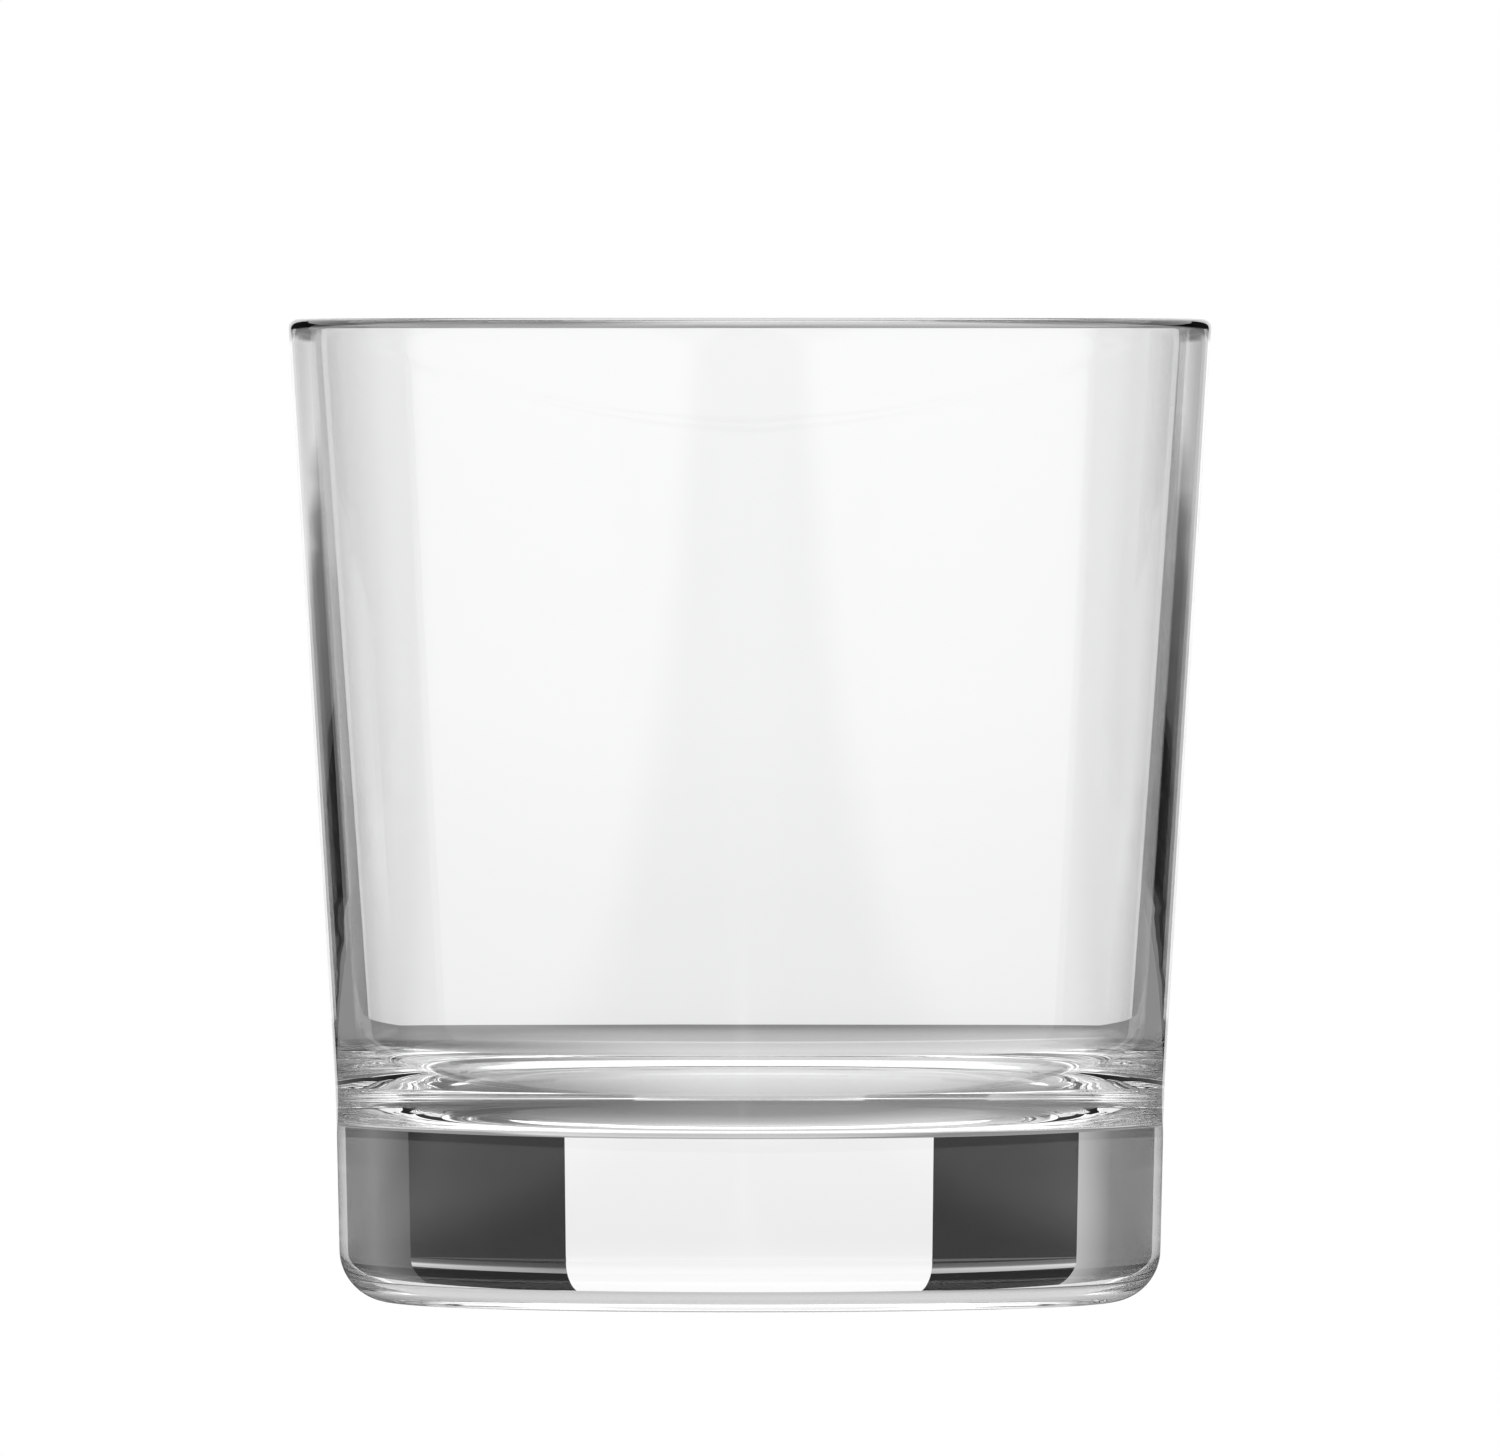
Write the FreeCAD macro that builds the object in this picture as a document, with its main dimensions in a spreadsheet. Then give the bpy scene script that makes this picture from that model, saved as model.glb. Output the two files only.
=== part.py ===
import FreeCAD, Part
import Sketcher
import os

# Whiskey tumbler: a thick-based drinking glass, made in one piece.
#
# Frame: millimetres, +Z up, origin at the middle of the foot, on the surface that the glass
# stands on. The glass is a body of revolution about Z, so every sketch is half of a section,
# drawn in the body's XZ plane: horizontal is the radius, vertical is the height.

NODE = "glass_body"

# Driving dimensions: alias, value, what it sets.
DIMENSIONS = [
    ("total_height", 93.6, "foot to lip"),
    ("rim_radius", 44.0, "outside radius of the mouth"),
    ("band_radius", 39.0, "outside radius of the base band at the foot, before the heel round"),
    ("knee_height", 20.0, "height at which the base band ends and the taper starts"),
    ("knee_flare", 0.45, "how much wider the glass is at the knee than at the foot"),
    ("heel_round", 5.0, "round between the foot and the base band"),
    ("knee_round", 160.0, "long soft round at the knee"),
    ("rim_wall", 1.9, "wall at the mouth, along the radius"),
    ("floor_wall", 2.4, "wall at the floor, along the radius"),
    ("lip_flat", 0.1, "flat left on the lip between its two rounds"),
    ("base_thickness", 16.2, "foot to the lowest point of the cavity floor"),
    ("floor_rise", 1.1, "how much the dished floor rises from the axis to the wall"),
    ("floor_round", 9.5, "round between the cavity floor and the wall"),
    ("foot_ring", 4.0, "width of the flat ring that the glass stands on"),
    ("punt_depth", 0.8, "depth, at the axis, of the hollow inside that ring"),
]

# Places that follow from the driving dimensions.
KNEE_RADIUS = "Dimensions.band_radius + Dimensions.knee_flare"
INNER_FLOOR_RADIUS = KNEE_RADIUS + " - Dimensions.floor_wall"
INNER_RIM_RADIUS = "Dimensions.rim_radius - Dimensions.rim_wall"
FLOOR_EDGE_HEIGHT = "Dimensions.base_thickness + Dimensions.floor_rise"
PUNT_RADIUS = "Dimensions.band_radius - Dimensions.heel_round - Dimensions.foot_ring"
LIP_ROUND = "(Dimensions.rim_wall - Dimensions.lip_flat) / 2"
ABOVE_MOUTH = "Dimensions.total_height * 1.1"

NEAR = 1e-3                     # millimetres: closer than this counts as the same
HORIZONTAL_AXIS, VERTICAL_AXIS = -1, -2
START, END, CENTRE = 1, 2, 3


def make_sheet(doc):
    """Spreadsheet with a row for each driving dimension."""
    sheet = doc.addObject("Spreadsheet::Sheet", "Dimensions")
    for row, (alias, value, meaning) in enumerate(DIMENSIONS, start=1):
        sheet.set(f"A{row}", alias)
        sheet.set(f"B{row}", str(value))
        sheet.set(f"C{row}", meaning)
        sheet.setAlias(f"B{row}", alias)
    doc.recompute()
    return sheet


def new_section(body, name):
    """Empty sketch on the body's own XZ plane."""
    sketch = body.newObject("Sketcher::SketchObject", name)
    plane = next(item for item in body.Origin.OriginFeatures if item.Role == "XZ_Plane")
    sketch.AttachmentSupport = [(plane, "")]
    sketch.MapMode = "FlatFace"
    return sketch


def pin(sketch, edge, kind, axis, name, expression):
    """Fix one coordinate of an edge's start: on the axis at zero, else at the expression."""
    if expression == "0":
        sketch.addConstraint(Sketcher.Constraint("PointOnObject", edge, START, axis))
        return
    value = float(sketch.evalExpression(expression))
    index = sketch.addConstraint(Sketcher.Constraint(kind, HORIZONTAL_AXIS, START, edge, START, value))
    sketch.renameConstraint(index, name)
    sketch.setExpression(f"Constraints.{name}", expression)


def arc_about_axis(first, second):
    """Arc from first to second, anticlockwise, of a circle whose centre is on the glass's axis."""
    height = (second.Length ** 2 - first.Length ** 2) / (2 * (second.y - first.y))
    centre = FreeCAD.Vector(0, height, 0)
    circle = Part.Circle(centre, FreeCAD.Vector(0, 0, 1), (first - centre).Length)
    return Part.ArcOfCircle(circle, circle.parameter(first), circle.parameter(second))


def draw_outline(sketch, corners, arc_first=False):
    """Closed outline through corners, each a (radius, height) pair of expressions.

    With arc_first the edge between the first two corners is an arc about the axis, which
    makes a dished surface. Every other edge is straight."""
    points = [FreeCAD.Vector(*[float(sketch.evalExpression(part)) for part in corner], 0)
              for corner in corners]
    edges = [Part.LineSegment(first, second) for first, second in zip(points, points[1:] + points[:1])]
    if arc_first:
        edges[0] = arc_about_axis(points[0], points[1])
    for edge in edges:
        sketch.addGeometry(edge, False)
    for index, (radius, height) in enumerate(corners):
        sketch.addConstraint(Sketcher.Constraint("Coincident", index, END, (index + 1) % len(corners), START))
        pin(sketch, index, "DistanceX", VERTICAL_AXIS, f"radius_{index}", radius)
        pin(sketch, index, "DistanceY", HORIZONTAL_AXIS, f"height_{index}", height)
    if arc_first:
        sketch.addConstraint(Sketcher.Constraint("PointOnObject", 0, CENTRE, VERTICAL_AXIS))


def round_corner(sketch, edge, name, size):
    """Round the corner at an edge's end. The corner stays, as a construction point."""
    arc = sketch.GeometryCount
    value = float(sketch.evalExpression(size))
    sketch.fillet(edge, END, value, True, True)
    index = sketch.addConstraint(Sketcher.Constraint("Radius", arc, value))
    sketch.renameConstraint(index, name)
    sketch.setExpression(f"Constraints.{name}", size)


def turn(body, kind, name, sketch):
    """Revolution or Groove of a whole turn about the sketch's vertical axis."""
    feature = body.newObject(kind, name)
    feature.Profile = (sketch, [""])
    feature.ReferenceAxis = (sketch, ["V_Axis"])
    feature.Angle = 360
    sketch.Document.recompute()
    return feature


def cut(body, name, sketch):
    """Groove that must take material away."""
    before = body.Shape.Volume
    groove = turn(body, "PartDesign::Groove", name, sketch)
    if not groove.Shape.Volume < before - NEAR:
        raise RuntimeError(f"{name} cuts nothing")


def is_circle(edge, radius, height):
    """Whether an edge is the circle of that radius at that height. A pole isn't one."""
    if edge.Degenerated or not isinstance(edge.Curve, Part.Circle):
        return False
    return abs(edge.Curve.Radius - radius) < NEAR and abs(edge.Curve.Center.z - height) < NEAR


def round_edge(body, name, radius, height, size):
    """Fillet on the circular edge at a radius and height, all three given as expressions."""
    base = body.Tip
    place = [float(base.evalExpression(part)) for part in (radius, height)]
    names = [f"Edge{number}" for number, edge in enumerate(base.Shape.Edges, start=1)
             if is_circle(edge, *place)]
    if len(names) != 1:
        raise RuntimeError(f"{name}: {len(names)} edges found, 1 expected")
    fillet = body.newObject("PartDesign::Fillet", name)
    fillet.Base = (base, names)
    fillet.setExpression("Radius", size)
    base.Document.recompute()


def make_glass(doc):
    """The glass: solid outer form, then the cavity, the punt and the rounds."""
    body = doc.addObject("PartDesign::Body", "Glass")
    body.Label = NODE

    outside = new_section(body, "OutsideSection")
    draw_outline(outside, [("0", "0"),
                           ("Dimensions.band_radius", "0"),
                           (KNEE_RADIUS, "Dimensions.knee_height"),
                           ("Dimensions.rim_radius", "Dimensions.total_height"),
                           ("0", "Dimensions.total_height")])
    round_corner(outside, 1, "knee_round", "Dimensions.knee_round")
    turn(body, "PartDesign::Revolution", "OutsideForm", outside)

    cavity = new_section(body, "CavitySection")
    draw_outline(cavity, [("0", "Dimensions.base_thickness"),
                          (INNER_FLOOR_RADIUS, FLOOR_EDGE_HEIGHT),
                          (INNER_RIM_RADIUS, "Dimensions.total_height"),
                          (INNER_RIM_RADIUS, ABOVE_MOUTH),
                          ("0", ABOVE_MOUTH)], arc_first=True)
    cut(body, "Cavity", cavity)

    punt = new_section(body, "PuntSection")
    draw_outline(punt, [(PUNT_RADIUS, "0"),
                        ("0", "Dimensions.punt_depth"),
                        ("0", "-Dimensions.punt_depth")], arc_first=True)
    cut(body, "Punt", punt)

    round_edge(body, "FloorRound", INNER_FLOOR_RADIUS, FLOOR_EDGE_HEIGHT, "Dimensions.floor_round")
    round_edge(body, "HeelRound", "Dimensions.band_radius", "0", "Dimensions.heel_round")
    round_edge(body, "OuterLipRound", "Dimensions.rim_radius", "Dimensions.total_height", LIP_ROUND)
    round_edge(body, "InnerLipRound", INNER_RIM_RADIUS, "Dimensions.total_height", LIP_ROUND)
    body.Placement = FreeCAD.Placement()
    return body


def check(doc, bodies):
    """Stop if any object failed or any body isn't one valid solid."""
    for item in doc.Objects:
        if "Invalid" in item.State or "Error" in item.State:
            raise RuntimeError(f"{item.Label} failed: {item.State}")
    for body in bodies:
        if body.Shape.isNull() or not body.Shape.isValid() or len(body.Shape.Solids) != 1:
            raise RuntimeError(f"{body.Label} isn't one valid solid")


def main():
    doc = FreeCAD.newDocument("WhiskeyTumbler")
    make_sheet(doc)
    bodies = [make_glass(doc)]
    doc.recompute()
    check(doc, bodies)
    os.makedirs("parts", exist_ok=True)
    for body in bodies:
        body.Shape.exportStep(f"parts/{body.Label}.step")
        print(body.Label, "volume", round(body.Shape.Volume / 1000, 2), "cubic centimetres")


main()
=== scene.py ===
import math

import bmesh
import bpy
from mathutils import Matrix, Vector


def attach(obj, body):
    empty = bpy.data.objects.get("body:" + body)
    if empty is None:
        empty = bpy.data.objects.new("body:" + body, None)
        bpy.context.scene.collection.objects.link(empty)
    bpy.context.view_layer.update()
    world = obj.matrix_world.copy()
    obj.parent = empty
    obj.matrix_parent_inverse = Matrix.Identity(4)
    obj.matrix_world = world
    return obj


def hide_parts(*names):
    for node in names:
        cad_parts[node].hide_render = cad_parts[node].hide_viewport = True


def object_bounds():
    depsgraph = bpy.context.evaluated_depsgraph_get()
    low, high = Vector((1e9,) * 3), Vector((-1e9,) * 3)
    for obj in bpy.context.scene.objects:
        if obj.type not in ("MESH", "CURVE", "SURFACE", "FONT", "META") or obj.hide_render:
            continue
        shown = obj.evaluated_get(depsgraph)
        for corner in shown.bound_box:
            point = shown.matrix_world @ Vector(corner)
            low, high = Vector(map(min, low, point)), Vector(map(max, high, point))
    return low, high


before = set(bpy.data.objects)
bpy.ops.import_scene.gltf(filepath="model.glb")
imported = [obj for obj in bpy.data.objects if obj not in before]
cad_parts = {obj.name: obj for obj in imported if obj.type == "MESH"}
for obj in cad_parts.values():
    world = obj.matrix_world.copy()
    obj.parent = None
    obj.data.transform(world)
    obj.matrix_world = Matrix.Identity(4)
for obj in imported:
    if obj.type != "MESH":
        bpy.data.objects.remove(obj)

bl_info = {
    "name": "Whiskey Tumbler",
    "version": (1, 0, 0),
    "blender": (4, 5, 0),
    "location": "View3D > Sidebar > Tumbler",
    "description": "Makes a thick-based clear drinking tumbler and a white table-top studio for it",
    "category": "Add Mesh",
}

CAD_LOW, CAD_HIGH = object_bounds()
CAD_NODE = "glass_body"
MM = 0.001


# ---------------------------------------------------------------- node trees

class Wire:
    """A node socket that can be used in Python arithmetic. Each operation adds a Math node."""

    def __init__(self, tree, socket):
        self.tree = tree
        self.socket = socket

    def math(self, operation, *values):
        return self.tree.add("ShaderNodeMath", {"operation": operation}, dict(enumerate(values)))[0]

    def __add__(self, other):
        return self.math("ADD", self, other)

    def __sub__(self, other):
        return self.math("SUBTRACT", self, other)

    def __rsub__(self, other):
        return self.math("SUBTRACT", other, self)

    def __mul__(self, other):
        return self.math("MULTIPLY", self, other)

    def __truediv__(self, other):
        return self.math("DIVIDE", self, other)

    def floor(self):
        return self.math("FLOOR", self)

    def absolute(self):
        return self.math("ABSOLUTE", self)


class Tree:
    """Adds nodes to a shader or geometry tree: settings first, then a value or a Wire per input."""

    def __init__(self, tree):
        self.tree = tree

    def add(self, kind, settings=None, inputs=None):
        node = self.tree.nodes.new(kind)
        for name, value in (settings or {}).items():
            setattr(node, name, value)
        for key, value in (inputs or {}).items():
            if isinstance(value, Wire):
                self.tree.links.new(value.socket, node.inputs[key])
            else:
                node.inputs[key].default_value = value
        return Outputs(self, node)

    def ease(self, value, start, end, low=0.0, high=1.0):
        """Goes smoothly from low to high while value goes from start to end."""
        return self.add("ShaderNodeMapRange", {"interpolation_type": "SMOOTHSTEP"}, {
            "Value": value, "From Min": start, "From Max": end, "To Min": low, "To Max": high})["Result"]

    def ramp(self, factor, stops):
        """Colour Ramp in grey, with (position, brightness) stops."""
        made = self.add("ShaderNodeValToRGB", None, {"Fac": factor})
        elements = made.node.color_ramp.elements
        while len(elements) < len(stops):
            elements.new(0.5)
        for element, (position, grey) in zip(elements, stops):
            element.position = position
            element.color = (grey, grey, grey, 1.0)
        return made["Color"]


class Outputs:
    """A node's outputs as Wires, by name or number."""

    def __init__(self, tree, node):
        self.tree = tree
        self.node = node

    def __getitem__(self, key):
        return Wire(self.tree, self.node.outputs[key])


def new_material(name):
    """Empty node material: the material, its Tree and its output node."""
    material = bpy.data.materials.new(name)
    material.use_nodes = True
    material.node_tree.nodes.clear()
    tree = Tree(material.node_tree)
    return material, tree, tree.add("ShaderNodeOutputMaterial").node


# ---------------------------------------------------------------- settings

def length(name, description, default, **limits):
    """A size in metres, shown in the scene's unit."""
    return bpy.props.FloatProperty(name=name, description=description, default=default,
                                   unit="LENGTH", precision=5, min=0.0, **limits)


class GlassShape(bpy.types.PropertyGroup):
    """Sizes of the glass. The overall height comes from the frame."""

    total_height: length("Total Height", "Foot to lip", CAD_HIGH.z - CAD_LOW.z)
    rim_radius: length("Rim Radius", "Outside radius of the mouth, before the lip round", 44.0 * MM)
    band_radius: length("Band Radius", "Outside radius of the base band at the foot", 39.0 * MM)
    knee_height: length("Knee Height", "Where the base band ends and the taper starts", 20.0 * MM)
    knee_flare: length("Knee Flare", "How much wider the knee is than the foot", 0.45 * MM)
    heel_round: length("Heel Round", "Round between foot and base band", 5.0 * MM)
    knee_round: length("Knee Round", "Long soft round at the knee", 160.0 * MM)
    rim_wall: length("Rim Wall", "Wall at the mouth", 1.9 * MM)
    lip_round: length("Lip Round", "Round on each side of the lip", 0.9 * MM)
    floor_wall: length("Floor Wall", "Wall at the cavity floor", 2.4 * MM)
    floor_round: length("Floor Round", "Round between cavity floor and wall", 9.5 * MM)
    floor_rise: length("Floor Rise", "Rise of the dished floor from the axis to the wall", 1.1 * MM)
    base_thickness: length("Base Thickness", "Foot to the lowest point of the floor", 16.2 * MM)
    foot_ring: length("Foot Ring", "Width of the flat ring that the glass stands on", 4.0 * MM)
    punt_depth: length("Punt Depth", "Hollow inside the foot ring", 0.8 * MM)
    row_step: length("Row Step", "Longest mesh row along a straight stretch of the outline", 1.5 * MM)
    wave_depth: length("Wave Depth", "Depth of the rings left in the wall by forming", 0.012 * MM)
    wave_length: length("Wave Length", "Distance between those rings", 2.2 * MM)
    segments: bpy.props.IntProperty(name="Segments", description="Mesh columns around the glass",
                                    default=240, min=24, max=320)


class GlassFinish(bpy.types.PropertyGroup):
    """Optical finish of the glass."""

    refraction: bpy.props.FloatProperty(name="Refraction", description="Index of refraction",
                                        default=1.52, min=1.3, max=1.8)
    clarity: bpy.props.FloatVectorProperty(name="Clarity", description="Colour that the glass lets through",
                                           default=(0.985, 0.99, 0.988), subtype="COLOR", min=0.0, max=1.0)
    polish: bpy.props.FloatProperty(name="Polish", description="Roughness of the least polished patches",
                                    default=0.004, min=0.0, max=0.2)
    ripple: length("Ripple", "Height of the shallow ripples left by forming", 0.004 * MM)


class StudioSetup(bpy.types.PropertyGroup):
    """Camera, floor, backdrop and cards."""

    camera_distance: length("Camera Distance", "Camera to the glass's axis", 3.344)
    camera_height: length("Camera Height", "Camera above the floor", 0.102)
    camera_pitch: bpy.props.FloatProperty(name="Camera Pitch", description="How far the camera looks down",
                                          default=math.radians(0.8116), subtype="ANGLE")
    view_width: length("View Width", "Width of the picture at the glass's axis", 0.14286)
    room_light: bpy.props.FloatProperty(name="Room Light", description="Brightness at eye height",
                                        default=0.75, min=0.0, max=4.0)
    top_light: bpy.props.FloatProperty(name="Top Light", description="Brightness overhead",
                                       default=1.6, min=0.0, max=4.0)


# ---------------------------------------------------------------- glass

def pick(tree, kind, index, choices):
    """Index Switch: the choice whose number is index."""
    switch = tree.add("GeometryNodeIndexSwitch", {"data_type": kind}, {"Index": index})
    items = switch.node.index_switch_items
    while len(items) < len(choices):
        items.new()
    for number, choice in enumerate(choices, start=1):
        if isinstance(choice, Wire):
            tree.tree.links.new(choice.socket, switch.node.inputs[number])
        else:
            switch.node.inputs[number].default_value = choice
    return switch["Output"]


# How much of the cavity floor's radius its flat middle takes before it starts to rise.
DISH_SHARE = 0.4
# Where the forming rings fade in, in knee heights, and out again, in total heights.
RINGS_FADE_IN = (1.5, 2.2)
RINGS_FADE_OUT = (0.97, 0.9)
# Shift between the rings outside and inside, in ring noise units for each metre of radius.
RING_SHIFT = 900.0
# Points closer than this are one point: the seam, and the ends on the axis.
WELD_DISTANCE = 0.001 * MM


def outline_corners(size):
    """Half section of the glass: (radius, height, round, steps in the round) for each corner.

    It runs from the axis under the foot, out and up the outside, over the lip, and down the
    inside to the axis again."""
    punt_radius = size["band_radius"] - size["heel_round"] - size["foot_ring"]
    punt_round = punt_radius * punt_radius / (size["punt_depth"] * 2)
    knee_radius = size["band_radius"] + size["knee_flare"]
    floor_radius = knee_radius - size["floor_wall"]
    floor_edge = size["base_thickness"] + size["floor_rise"]
    inner_rim = size["rim_radius"] - size["rim_wall"]
    dish_radius = floor_radius * DISH_SHARE
    dish_round = dish_radius * (floor_radius - dish_radius) / size["floor_rise"]
    return [
        (0.0, size["punt_depth"], 0.0, 1),
        (punt_radius / 2, size["punt_depth"], punt_round, 12),
        (punt_radius, 0.0, 0.0, 1),
        (size["band_radius"], 0.0, size["heel_round"], 24),
        (knee_radius, size["knee_height"], size["knee_round"], 12),
        (size["rim_radius"], size["total_height"], size["lip_round"], 14),
        (inner_rim, size["total_height"], size["lip_round"], 14),
        (floor_radius, floor_edge, size["floor_round"], 40),
        (dish_radius, size["base_thickness"], dish_round, 12),
        (0.0, size["base_thickness"], 0.0, 1),
    ]


def outline_curve(tree, size):
    """The half section as a poly curve in the XZ plane, with its corners rounded."""
    corners = outline_corners(size)
    index = tree.add("GeometryNodeInputIndex")["Index"]
    places = [tree.add("ShaderNodeCombineXYZ", None, {"X": radius, "Z": height})["Vector"]
              for radius, height, _, _ in corners]
    line = tree.add("GeometryNodeMeshLine", None, {"Count": len(corners)})["Mesh"]
    line = tree.add("GeometryNodeSetPosition", None,
                    {"Geometry": line, "Position": pick(tree, "VECTOR", index, places)})["Geometry"]
    curve = tree.add("GeometryNodeMeshToCurve", None, {"Mesh": line})["Curve"]
    return tree.add("GeometryNodeFilletCurve", {"mode": "POLY"}, {
        "Curve": curve,
        "Count": pick(tree, "INT", index, [steps for _, _, _, steps in corners]),
        "Radius": pick(tree, "FLOAT", index, [round_ for _, _, round_, _ in corners]),
        "Limit Radius": True,
    })["Curve"]


def even_rows(tree, curve, step):
    """Cuts the long straight stretches of a poly curve into rows no longer than step."""
    index = tree.add("GeometryNodeInputIndex")["Index"]
    here = tree.add("GeometryNodeInputPosition")["Position"]
    following = tree.add("GeometryNodeFieldAtIndex", {"data_type": "FLOAT_VECTOR", "domain": "POINT"},
                         {"Index": index + 1, "Value": here})[0]
    gap = tree.add("ShaderNodeVectorMath", {"operation": "DISTANCE"}, {0: here, 1: following})["Value"]
    cuts = (gap / step).floor()
    return tree.add("GeometryNodeSubdivideCurve", None, {"Curve": curve, "Cuts": cuts})["Curve"]


def wall_rings(tree, radius, height, size):
    """How far the wall stands in or out where it carries shallow rings from forming."""
    knee, top = size["knee_height"], size["total_height"]
    place = height / size["wave_length"] + radius * RING_SHIFT
    rings = tree.add("ShaderNodeTexNoise", {"noise_dimensions": "1D"},
                     {"W": place, "Detail": 1.0, "Roughness": 0.4})["Fac"]
    low = tree.ease(height, knee * RINGS_FADE_IN[0], knee * RINGS_FADE_IN[1])
    high = tree.ease(height, top * RINGS_FADE_OUT[0], top * RINGS_FADE_OUT[1])
    return (rings - 0.5) * size["wave_depth"] * low * high


def turned_mesh(tree, curve, size):
    """The half section turned about Z: a grid whose rows follow the curve, closed on itself."""
    rows = tree.add("GeometryNodeAttributeDomainSize", {"component": "CURVE"},
                    {"Geometry": curve})["Point Count"]
    columns = size["segments"] + 1
    grid = tree.add("GeometryNodeMeshGrid", None, {"Vertices X": rows, "Vertices Y": columns})["Mesh"]
    index = tree.add("GeometryNodeInputIndex")["Index"]
    row = ((index + 0.5) / columns).floor()
    column = index - row * columns
    turn = column / size["segments"] * -math.tau
    here = tree.add("GeometryNodeInputPosition")["Position"]
    place = tree.add("GeometryNodeSampleIndex", {"data_type": "FLOAT_VECTOR", "domain": "POINT"},
                     {"Geometry": curve, "Value": here, "Index": row})["Value"]
    parts = tree.add("ShaderNodeSeparateXYZ", None, {"Vector": place})
    radius = parts["X"] + wall_rings(tree, parts["X"], parts["Z"], size)
    position = tree.add("ShaderNodeCombineXYZ", None, {
        "X": radius * turn.math("COSINE", turn),
        "Y": radius * turn.math("SINE", turn),
        "Z": parts["Z"],
    })["Vector"]
    placed = tree.add("GeometryNodeSetPosition", None, {"Geometry": grid, "Position": position})["Geometry"]
    return tree.add("GeometryNodeMergeByDistance", None,
                    {"Geometry": placed, "Distance": WELD_DISTANCE})["Geometry"]


def lathe_group(shape, material):
    """Geometry Nodes group that makes the glass from its sizes, with one input for each."""
    group = bpy.data.node_groups.new("Turned Glass", "GeometryNodeTree")
    group.interface.new_socket("Geometry", in_out="OUTPUT", socket_type="NodeSocketGeometry")
    names = list(GlassShape.__annotations__)
    for name in names:
        kind = "NodeSocketInt" if isinstance(getattr(shape, name), int) else "NodeSocketFloat"
        group.interface.new_socket(shape.bl_rna.properties[name].name, in_out="INPUT", socket_type=kind)
    tree = Tree(group)
    given = tree.add("NodeGroupInput")
    size = {name: given[number] for number, name in enumerate(names)}
    curve = even_rows(tree, outline_curve(tree, size), size["row_step"])
    made = turned_mesh(tree, curve, size)
    made = tree.add("GeometryNodeSetShadeSmooth", None, {"Geometry": made})["Geometry"]
    made = tree.add("GeometryNodeRealizeInstances", None, {"Geometry": made})["Geometry"]
    made = tree.add("GeometryNodeSetMaterial", None, {"Geometry": made, "Material": material})["Geometry"]
    tree.add("NodeGroupOutput", None, {"Geometry": made})
    return group


def set_inputs(modifier, shape):
    """Gives each input of the modifier's group its size, by the input's identifier."""
    inputs = [item for item in modifier.node_group.interface.items_tree if item.in_out == "INPUT"]
    for name, item in zip(GlassShape.__annotations__, inputs):
        modifier[item.identifier] = getattr(shape, name)


def plain_mesh(source):
    """The evaluated result of an object's modifiers, as a mesh of its own."""
    depsgraph = bpy.context.evaluated_depsgraph_get()
    evaluated = source.evaluated_get(depsgraph)
    return bpy.data.meshes.new_from_object(evaluated, preserve_all_data_layers=True, depsgraph=depsgraph)


def check_closed(mesh):
    """Stop if the glass isn't one closed skin that faces outwards."""
    skin = bmesh.new()
    skin.from_mesh(mesh)
    open_edges = [edge for edge in skin.edges if not edge.is_manifold]
    volume = skin.calc_volume(signed=True)
    skin.free()
    if open_edges or volume <= 0:
        raise RuntimeError(f"the glass isn't closed: {len(open_edges)} open edges, volume {volume}")


# Scale of the ripples across and along the glass, and of the polish patches, in noise units a metre.
RIPPLE_SCALE = (22.0, 22.0, 160.0)
POLISH_SCALE = 60.0


def clear_glass(finish):
    """Colourless fire-polished glass with very shallow ripples and polish marks."""
    material, tree, output = new_material("Clear Glass")
    place = tree.add("ShaderNodeTexCoord")["Object"]
    drawn_out = tree.add("ShaderNodeMapping", None, {"Vector": place, "Scale": RIPPLE_SCALE})["Vector"]
    ripples = tree.add("ShaderNodeTexNoise", None,
                       {"Vector": drawn_out, "Scale": 1.0, "Detail": 2.0})["Fac"]
    bump = tree.add("ShaderNodeBump", None, {"Strength": 1.0, "Distance": finish.ripple, "Height": ripples})
    patches = tree.add("ShaderNodeTexNoise", None,
                       {"Vector": place, "Scale": POLISH_SCALE, "Detail": 3.0})["Fac"]
    surface = tree.add("ShaderNodeBsdfPrincipled", None, {
        "Base Color": (*finish.clarity, 1.0),
        "Roughness": patches * finish.polish,
        "IOR": finish.refraction,
        "Transmission Weight": 1.0,
        "Normal": bump["Normal"],
    })
    tree.tree.links.new(surface["BSDF"].socket, output.inputs["Surface"])
    return material


class TUMBLER_OT_glass(bpy.types.Operator):
    """Make the clear glass tumbler, in place of the plain CAD glass"""

    bl_idname = "tumbler.glass"
    bl_label = "Make Glass"

    def execute(self, context):
        shape = context.scene.tumbler_shape
        material = clear_glass(context.scene.tumbler_finish)
        source = bpy.data.objects.new("turned_glass_source", bpy.data.meshes.new("source"))
        context.scene.collection.objects.link(source)
        modifier = source.modifiers.new("Turned Glass", "NODES")
        modifier.node_group = lathe_group(shape, material)
        set_inputs(modifier, shape)
        glass = bpy.data.objects.new("tumbler_glass", plain_mesh(source))
        bpy.data.objects.remove(source)
        context.scene.collection.objects.link(glass)
        check_closed(glass.data)
        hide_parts(CAD_NODE)
        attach(glass, "root")
        return {"FINISHED"}


# ---------------------------------------------------------------- studio

# Light cards stand round the glass at this distance from its axis, in metres.
CARD_DISTANCE = 0.6
# Angles, in degrees from straight behind the glass towards +X, where one card ends and the next starts.
LEFT_EDGE, LEFT_SIDE, LEFT_OUTER, LEFT_END = -16.8, -38.8, -48.0, -72.0
RIGHT_EDGE, RIGHT_SIDE, RIGHT_OUTER, RIGHT_END = 17.0, 42.0, 54.0, 72.0
TOP_REACH = 60.0
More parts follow.
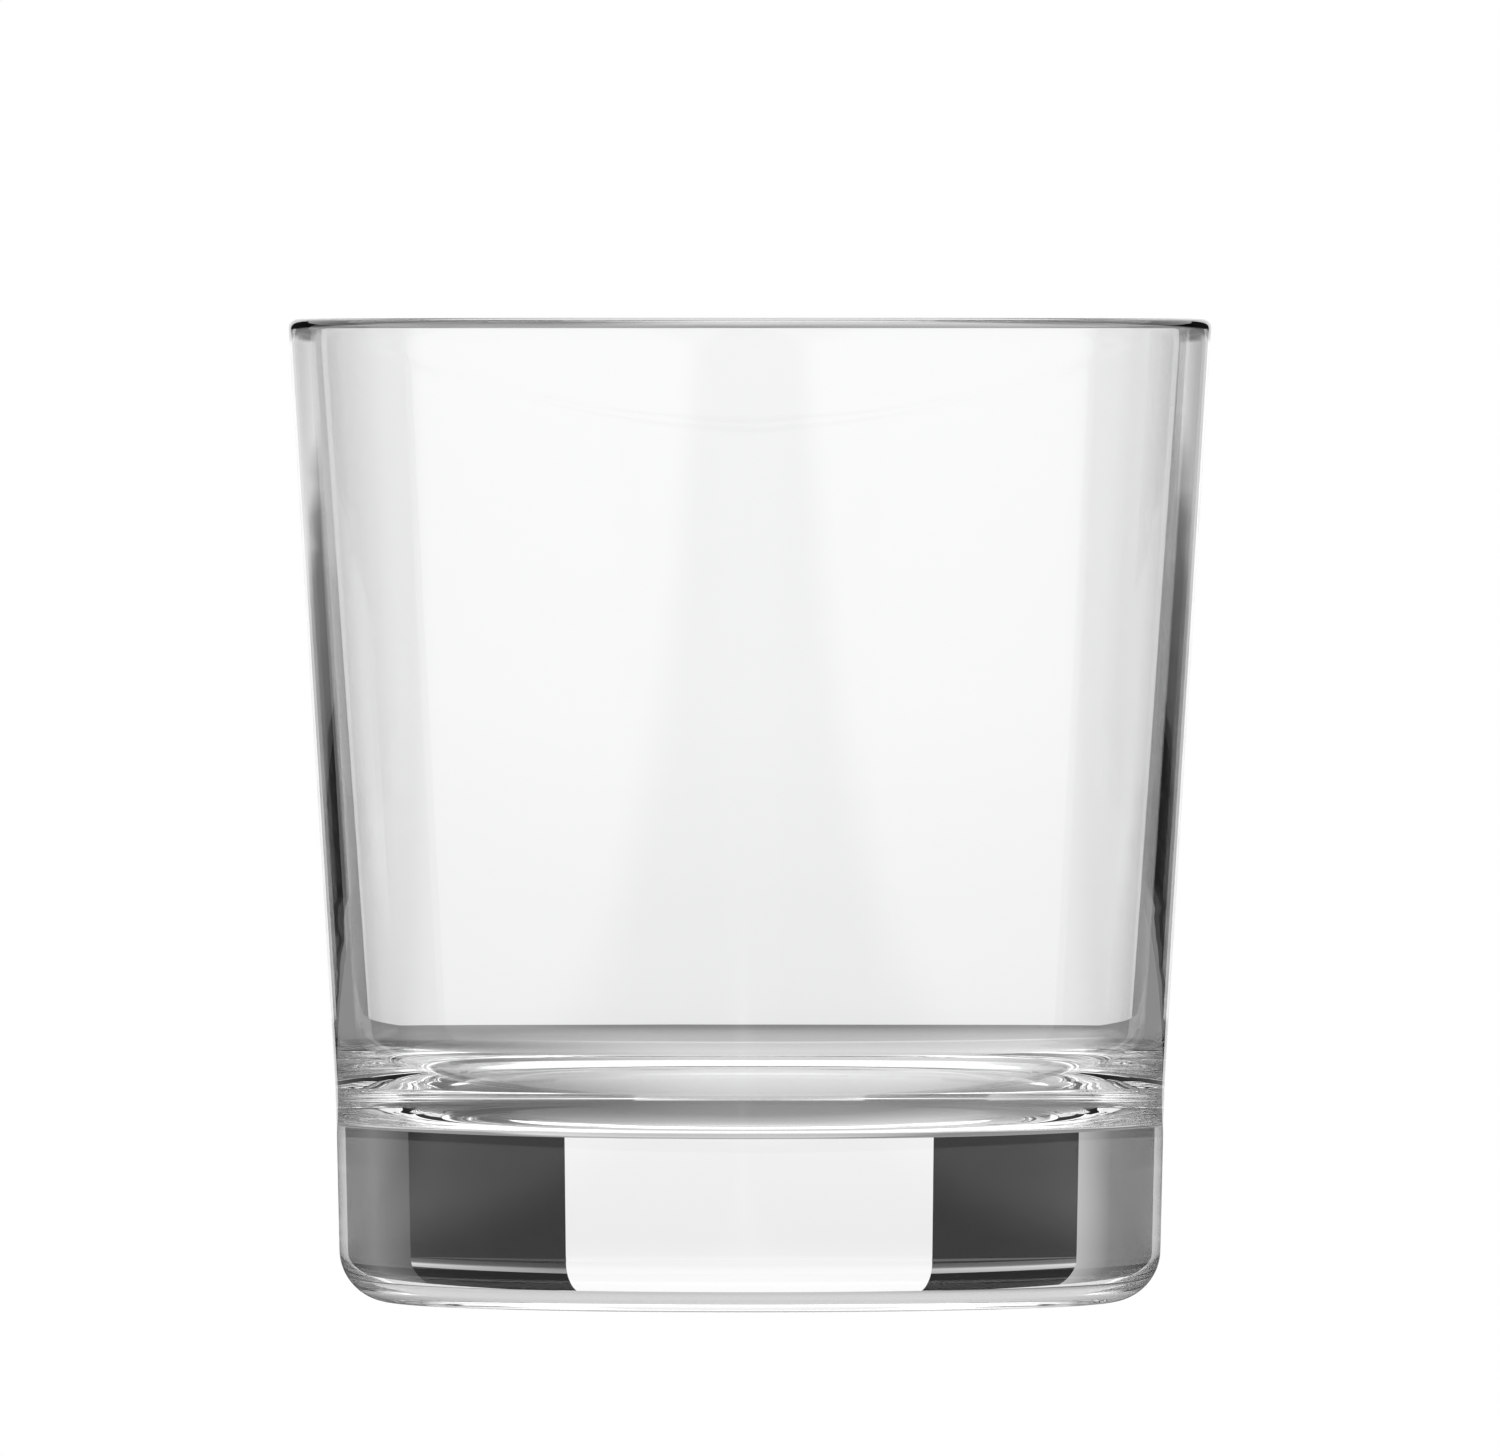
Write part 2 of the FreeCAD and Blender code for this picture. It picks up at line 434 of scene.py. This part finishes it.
# Heights, in millimetres, where the flags stop, start again and stop, and the top of the top cards.
LOW_FLAG_TOP, HIGH_FLAG_FOOT, HIGH_FLAG_TOP, TOP_CARD_TOP = 24, 86, 260, 420
LOW_FLAG, HIGH_FLAG, TOP_CARD = 0.014, 0.018, 0.9


def same_light(foot, top, light_first, light_last):
    """Rows for a card whose light is the same at every height."""
    return [(foot, light_first, light_last), (top, light_first, light_last)]


# Cards: name, first and last angle, and rows of (height in millimetres, brightness at the first
# angle, brightness at the last angle). The low flags show as the two dark panels in the base,
# the middle cards in the walls, and the high flags in the heel.
CARDS = [
    ("backdrop", LEFT_EDGE, RIGHT_EDGE, [
        (0, 0.88, 0.88), (8, 0.91, 0.91), (16, 0.94, 0.94), (24, 0.95, 0.95), (45, 1.0, 1.0),
        (90, 1.03, 1.03), (900, 1.1, 1.1)]),
    ("low_flag_left", LEFT_SIDE, LEFT_EDGE, same_light(0, LOW_FLAG_TOP, LOW_FLAG, LOW_FLAG)),
    ("low_flag_right", RIGHT_EDGE, RIGHT_SIDE, same_light(0, LOW_FLAG_TOP, LOW_FLAG, LOW_FLAG)),
    ("mid_card_left", LEFT_SIDE, LEFT_EDGE, [
        (LOW_FLAG_TOP, 0.14, 0.08), (34, 0.16, 0.1), (46, 0.2, 0.15), (56, 0.8, 0.55),
        (HIGH_FLAG_FOOT, 0.5, 0.45)]),
    ("mid_card_right", RIGHT_EDGE, RIGHT_SIDE, [
        (LOW_FLAG_TOP, 0.04, 0.1), (34, 0.05, 0.12), (46, 0.06, 0.2), (58, 0.25, 0.8),
        (HIGH_FLAG_FOOT, 0.35, 0.5)]),
    ("high_flag_left", LEFT_SIDE, LEFT_EDGE,
     same_light(HIGH_FLAG_FOOT, HIGH_FLAG_TOP, HIGH_FLAG, HIGH_FLAG)),
    ("high_flag_right", RIGHT_EDGE, RIGHT_SIDE,
     same_light(HIGH_FLAG_FOOT, HIGH_FLAG_TOP, HIGH_FLAG, HIGH_FLAG)),
    ("top_card_left", -TOP_REACH, LEFT_EDGE,
     same_light(HIGH_FLAG_TOP, TOP_CARD_TOP, TOP_CARD, TOP_CARD)),
    ("top_card_right", RIGHT_EDGE, TOP_REACH,
     same_light(HIGH_FLAG_TOP, TOP_CARD_TOP, TOP_CARD, TOP_CARD)),
    ("side_card_left", LEFT_OUTER, LEFT_SIDE, same_light(0, HIGH_FLAG_TOP, 0.2, 0.5)),
    ("side_card_right", RIGHT_SIDE, RIGHT_OUTER, same_light(0, HIGH_FLAG_TOP, 0.1, 0.2)),
    ("outer_card_left", LEFT_END, LEFT_OUTER, same_light(0, HIGH_FLAG_TOP, 0.03, 0.2)),
    ("outer_card_right", RIGHT_OUTER, RIGHT_END, same_light(0, HIGH_FLAG_TOP, 0.2, 0.02)),
]
# Painted light and shade on the table top's strip in line with the camera, as (Y in metres, brightness).
# The dark dip just in front of the glass is painted shadow.
TABLE_PAINTED_LIGHT = [
    (-0.18, 0.75), (-0.08, 0.3), (-0.045, 0.2), (-0.028, 0.26), (-0.016, 0.62), (0.03, 0.68), (0.06, 0.66),
    (0.13, 0.6), (0.155, 0.8), (0.175, 0.5), (0.24, 0.46), (0.33, 0.36), (0.42, 0.25), (0.6, 0.22)]
# The strip's half width at the glass, how fast it widens, how far its middle is off to +X there,
# how fast its middle leans to +X, and the half width of its soft edge.
STRIP_HALF_WIDTH = 0.022
STRIP_WIDENING = 0.1
STRIP_OFFSET = 0.006
STRIP_LEAN = 0.06
STRIP_EDGE = 0.014
# Painted light beside the strip near the glass and further back, and the Y in metres between which it
# changes.
TABLE_SIDE_LIGHT = (0.08, 0.26)
TABLE_SIDE_Y = (0.06, 0.16)
# Painted light far off to the sides, and the X and Y in metres between which it comes in.
TABLE_FAR_LIGHT = 0.75
TABLE_FAR_X = (0.12, 0.22)
TABLE_FAR_Y = (0.12, 0.0)
TABLE_HALF_SIZE = 3.0
TABLE_DROP = 0.05 * MM
# Height of a direction's unit vector where the room light turns into the top light.
TOP_LIGHT_FROM, TOP_LIGHT_TO = 0.2, 0.35
# The camera's sensor in millimetres, and the nearest and furthest that it sees in metres.
SENSOR_WIDTH = 36.0
CLIP = (0.01, 50.0)
# How often light may be bent or mirrored on its way through the thick base.
BOUNCES = 32
MIRROR_BOUNCES = 24


def curved_card(name, first, last, rows, material):
    """Upright card bent round the glass, lit row by row as given."""
    columns = max(2, round(abs(last - first)))
    places, lights, faces = [], [], []
    for height, light_first, light_last in rows:
        for column in range(columns + 1):
            part = column / columns
            angle = math.radians(first + (last - first) * part)
            places.append((CARD_DISTANCE * math.sin(angle), CARD_DISTANCE * math.cos(angle), height * MM))
            lights.append(light_first + (light_last - light_first) * part)
    for row in range(len(rows) - 1):
        for column in range(columns):
            corner = row * (columns + 1) + column
            faces.append((corner, corner + 1, corner + columns + 2, corner + columns + 1))
    mesh = bpy.data.meshes.new(name)
    mesh.from_pydata(places, [], faces)
    mesh.attributes.new("light", "FLOAT", "POINT").data.foreach_set("value", lights)
    mesh.materials.append(material)
    card = bpy.data.objects.new(name, mesh)
    bpy.context.scene.collection.objects.link(card)
    card.visible_camera = False
    card.visible_diffuse = False
    card.visible_shadow = False


def lit_card():
    """Card material that glows as bright as the card's own light attribute says."""
    material, tree, output = new_material("Lit Card")
    light = tree.add("ShaderNodeAttribute", {"attribute_name": "light"})["Fac"]
    glow = tree.add("ShaderNodeEmission", None, {"Color": (1.0, 1.0, 1.0, 1.0), "Strength": light})
    tree.tree.links.new(glow["Emission"].socket, output.inputs["Surface"])
    return material


def table_top():
    """Pale table top. It is plain white to look at, and to the glass on it, it glows with painted light and
    painted shadow in places.
    """
    material, tree, output = new_material("White Table Top")
    place = tree.add("ShaderNodeTexCoord")["Object"]
    parts = tree.add("ShaderNodeSeparateXYZ", None, {"Vector": place})
    start, end = TABLE_PAINTED_LIGHT[0][0], TABLE_PAINTED_LIGHT[-1][0]
    along = (parts["Y"] - start) / (end - start)
    strip = tree.ramp(along, [((at - start) / (end - start), light) for at, light in TABLE_PAINTED_LIGHT])
    off_middle = (parts["X"] - STRIP_OFFSET - parts["Y"] * STRIP_LEAN).absolute()
    past_edge = off_middle - STRIP_HALF_WIDTH - parts["Y"] * STRIP_WIDENING
    beside = tree.ease(past_edge, -STRIP_EDGE, STRIP_EDGE)
    side = tree.ease(parts["Y"], *TABLE_SIDE_Y, *TABLE_SIDE_LIGHT)
    near = strip + (side - strip) * beside
    far_off = tree.ease(parts["X"].absolute(), *TABLE_FAR_X) * tree.ease(parts["Y"], *TABLE_FAR_Y)
    light = near + (TABLE_FAR_LIGHT - near) * far_off
    # The glow is painted light and shade for rays through the glass, and plain white straight to the
    # camera.
    straight = tree.add("ShaderNodeLightPath")["Is Camera Ray"]
    glow = tree.add("ShaderNodeEmission", None, {"Strength": light + (1.0 - light) * straight})
    tree.tree.links.new(glow["Emission"].socket, output.inputs["Surface"])
    mesh = bpy.data.meshes.new("table_top")
    half = TABLE_HALF_SIZE
    corners = [(-half, -half, 0), (half, -half, 0), (half, half, 0), (-half, half, 0)]
    mesh.from_pydata(corners, [], [(0, 1, 2, 3)])
    mesh.materials.append(material)
    table = bpy.data.objects.new("table_top", mesh)
    table.location.z = CAD_LOW.z - TABLE_DROP
    bpy.context.scene.collection.objects.link(table)


def room(setup):
    """White behind everything, and for the glass a grey room under a wide soft light."""
    world = bpy.data.worlds.new("Studio")
    world.use_nodes = True
    world.node_tree.nodes.clear()
    tree = Tree(world.node_tree)
    toward = tree.add("ShaderNodeTexCoord")["Generated"]
    height = tree.add("ShaderNodeSeparateXYZ", None, {"Vector": toward})["Z"]
    light = tree.ease(height, TOP_LIGHT_FROM, TOP_LIGHT_TO, setup.room_light, setup.top_light)
    straight = tree.add("ShaderNodeLightPath")["Is Camera Ray"]
    background = tree.add("ShaderNodeBackground", None, {
        "Color": (1.0, 1.0, 1.0, 1.0), "Strength": light + (1.0 - light) * straight})
    output = tree.add("ShaderNodeOutputWorld").node
    world.node_tree.links.new(background["Background"].socket, output.inputs["Surface"])
    bpy.context.scene.world = world


def camera(setup):
    """Long lens, a little above the lip, looking slightly down at the glass."""
    data = bpy.data.cameras.new("camera")
    data.sensor_width = SENSOR_WIDTH
    data.lens = data.sensor_width * setup.camera_distance / setup.view_width
    data.clip_start, data.clip_end = CLIP
    made = bpy.data.objects.new("camera", data)
    made.location = (0.0, -setup.camera_distance, setup.camera_height)
    made.rotation_euler = (math.pi / 2 - setup.camera_pitch, 0.0, 0.0)
    bpy.context.scene.collection.objects.link(made)
    bpy.context.scene.camera = made


def light_paths():
    """Plain colours, and enough bounces for light to cross the thick base."""
    scene = bpy.context.scene
    scene.view_settings.view_transform = "Standard"
    scene.cycles.max_bounces = BOUNCES
    scene.cycles.transmission_bounces = BOUNCES
    scene.cycles.glossy_bounces = MIRROR_BOUNCES


class TUMBLER_OT_studio(bpy.types.Operator):
    """Make the table top, the cards, the room light and the camera"""

    bl_idname = "tumbler.studio"
    bl_label = "Make Studio"

    def execute(self, context):
        setup = context.scene.tumbler_studio
        table_top()
        material = lit_card()
        for name, first, last, rows in CARDS:
            curved_card(name, first, last, rows, material)
        room(setup)
        camera(setup)
        light_paths()
        return {"FINISHED"}


# ---------------------------------------------------------------- panel and registration

class TUMBLER_PT_panel(bpy.types.Panel):
    """Sizes, finish and studio of the tumbler"""

    bl_label = "Whiskey Tumbler"
    bl_space_type = "VIEW_3D"
    bl_region_type = "UI"
    bl_category = "Tumbler"

    def draw(self, context):
        scene = context.scene
        for title, group in (("Shape", scene.tumbler_shape), ("Finish", scene.tumbler_finish),
                             ("Studio", scene.tumbler_studio)):
            box = self.layout.box()
            box.label(text=title)
            for name in group.__annotations__:
                box.prop(group, name)
        self.layout.operator(TUMBLER_OT_glass.bl_idname)
        self.layout.operator(TUMBLER_OT_studio.bl_idname)


CLASSES = (GlassShape, GlassFinish, StudioSetup, TUMBLER_OT_glass, TUMBLER_OT_studio, TUMBLER_PT_panel)


def register():
    for item in CLASSES:
        bpy.utils.register_class(item)
    bpy.types.Scene.tumbler_shape = bpy.props.PointerProperty(type=GlassShape)
    bpy.types.Scene.tumbler_finish = bpy.props.PointerProperty(type=GlassFinish)
    bpy.types.Scene.tumbler_studio = bpy.props.PointerProperty(type=StudioSetup)


def unregister():
    del bpy.types.Scene.tumbler_shape
    del bpy.types.Scene.tumbler_finish
    del bpy.types.Scene.tumbler_studio
    for item in reversed(CLASSES):
        bpy.utils.unregister_class(item)


def main():
    register()
    bpy.ops.tumbler.glass()
    bpy.ops.tumbler.studio()


if __name__ == "__main__":
    main()
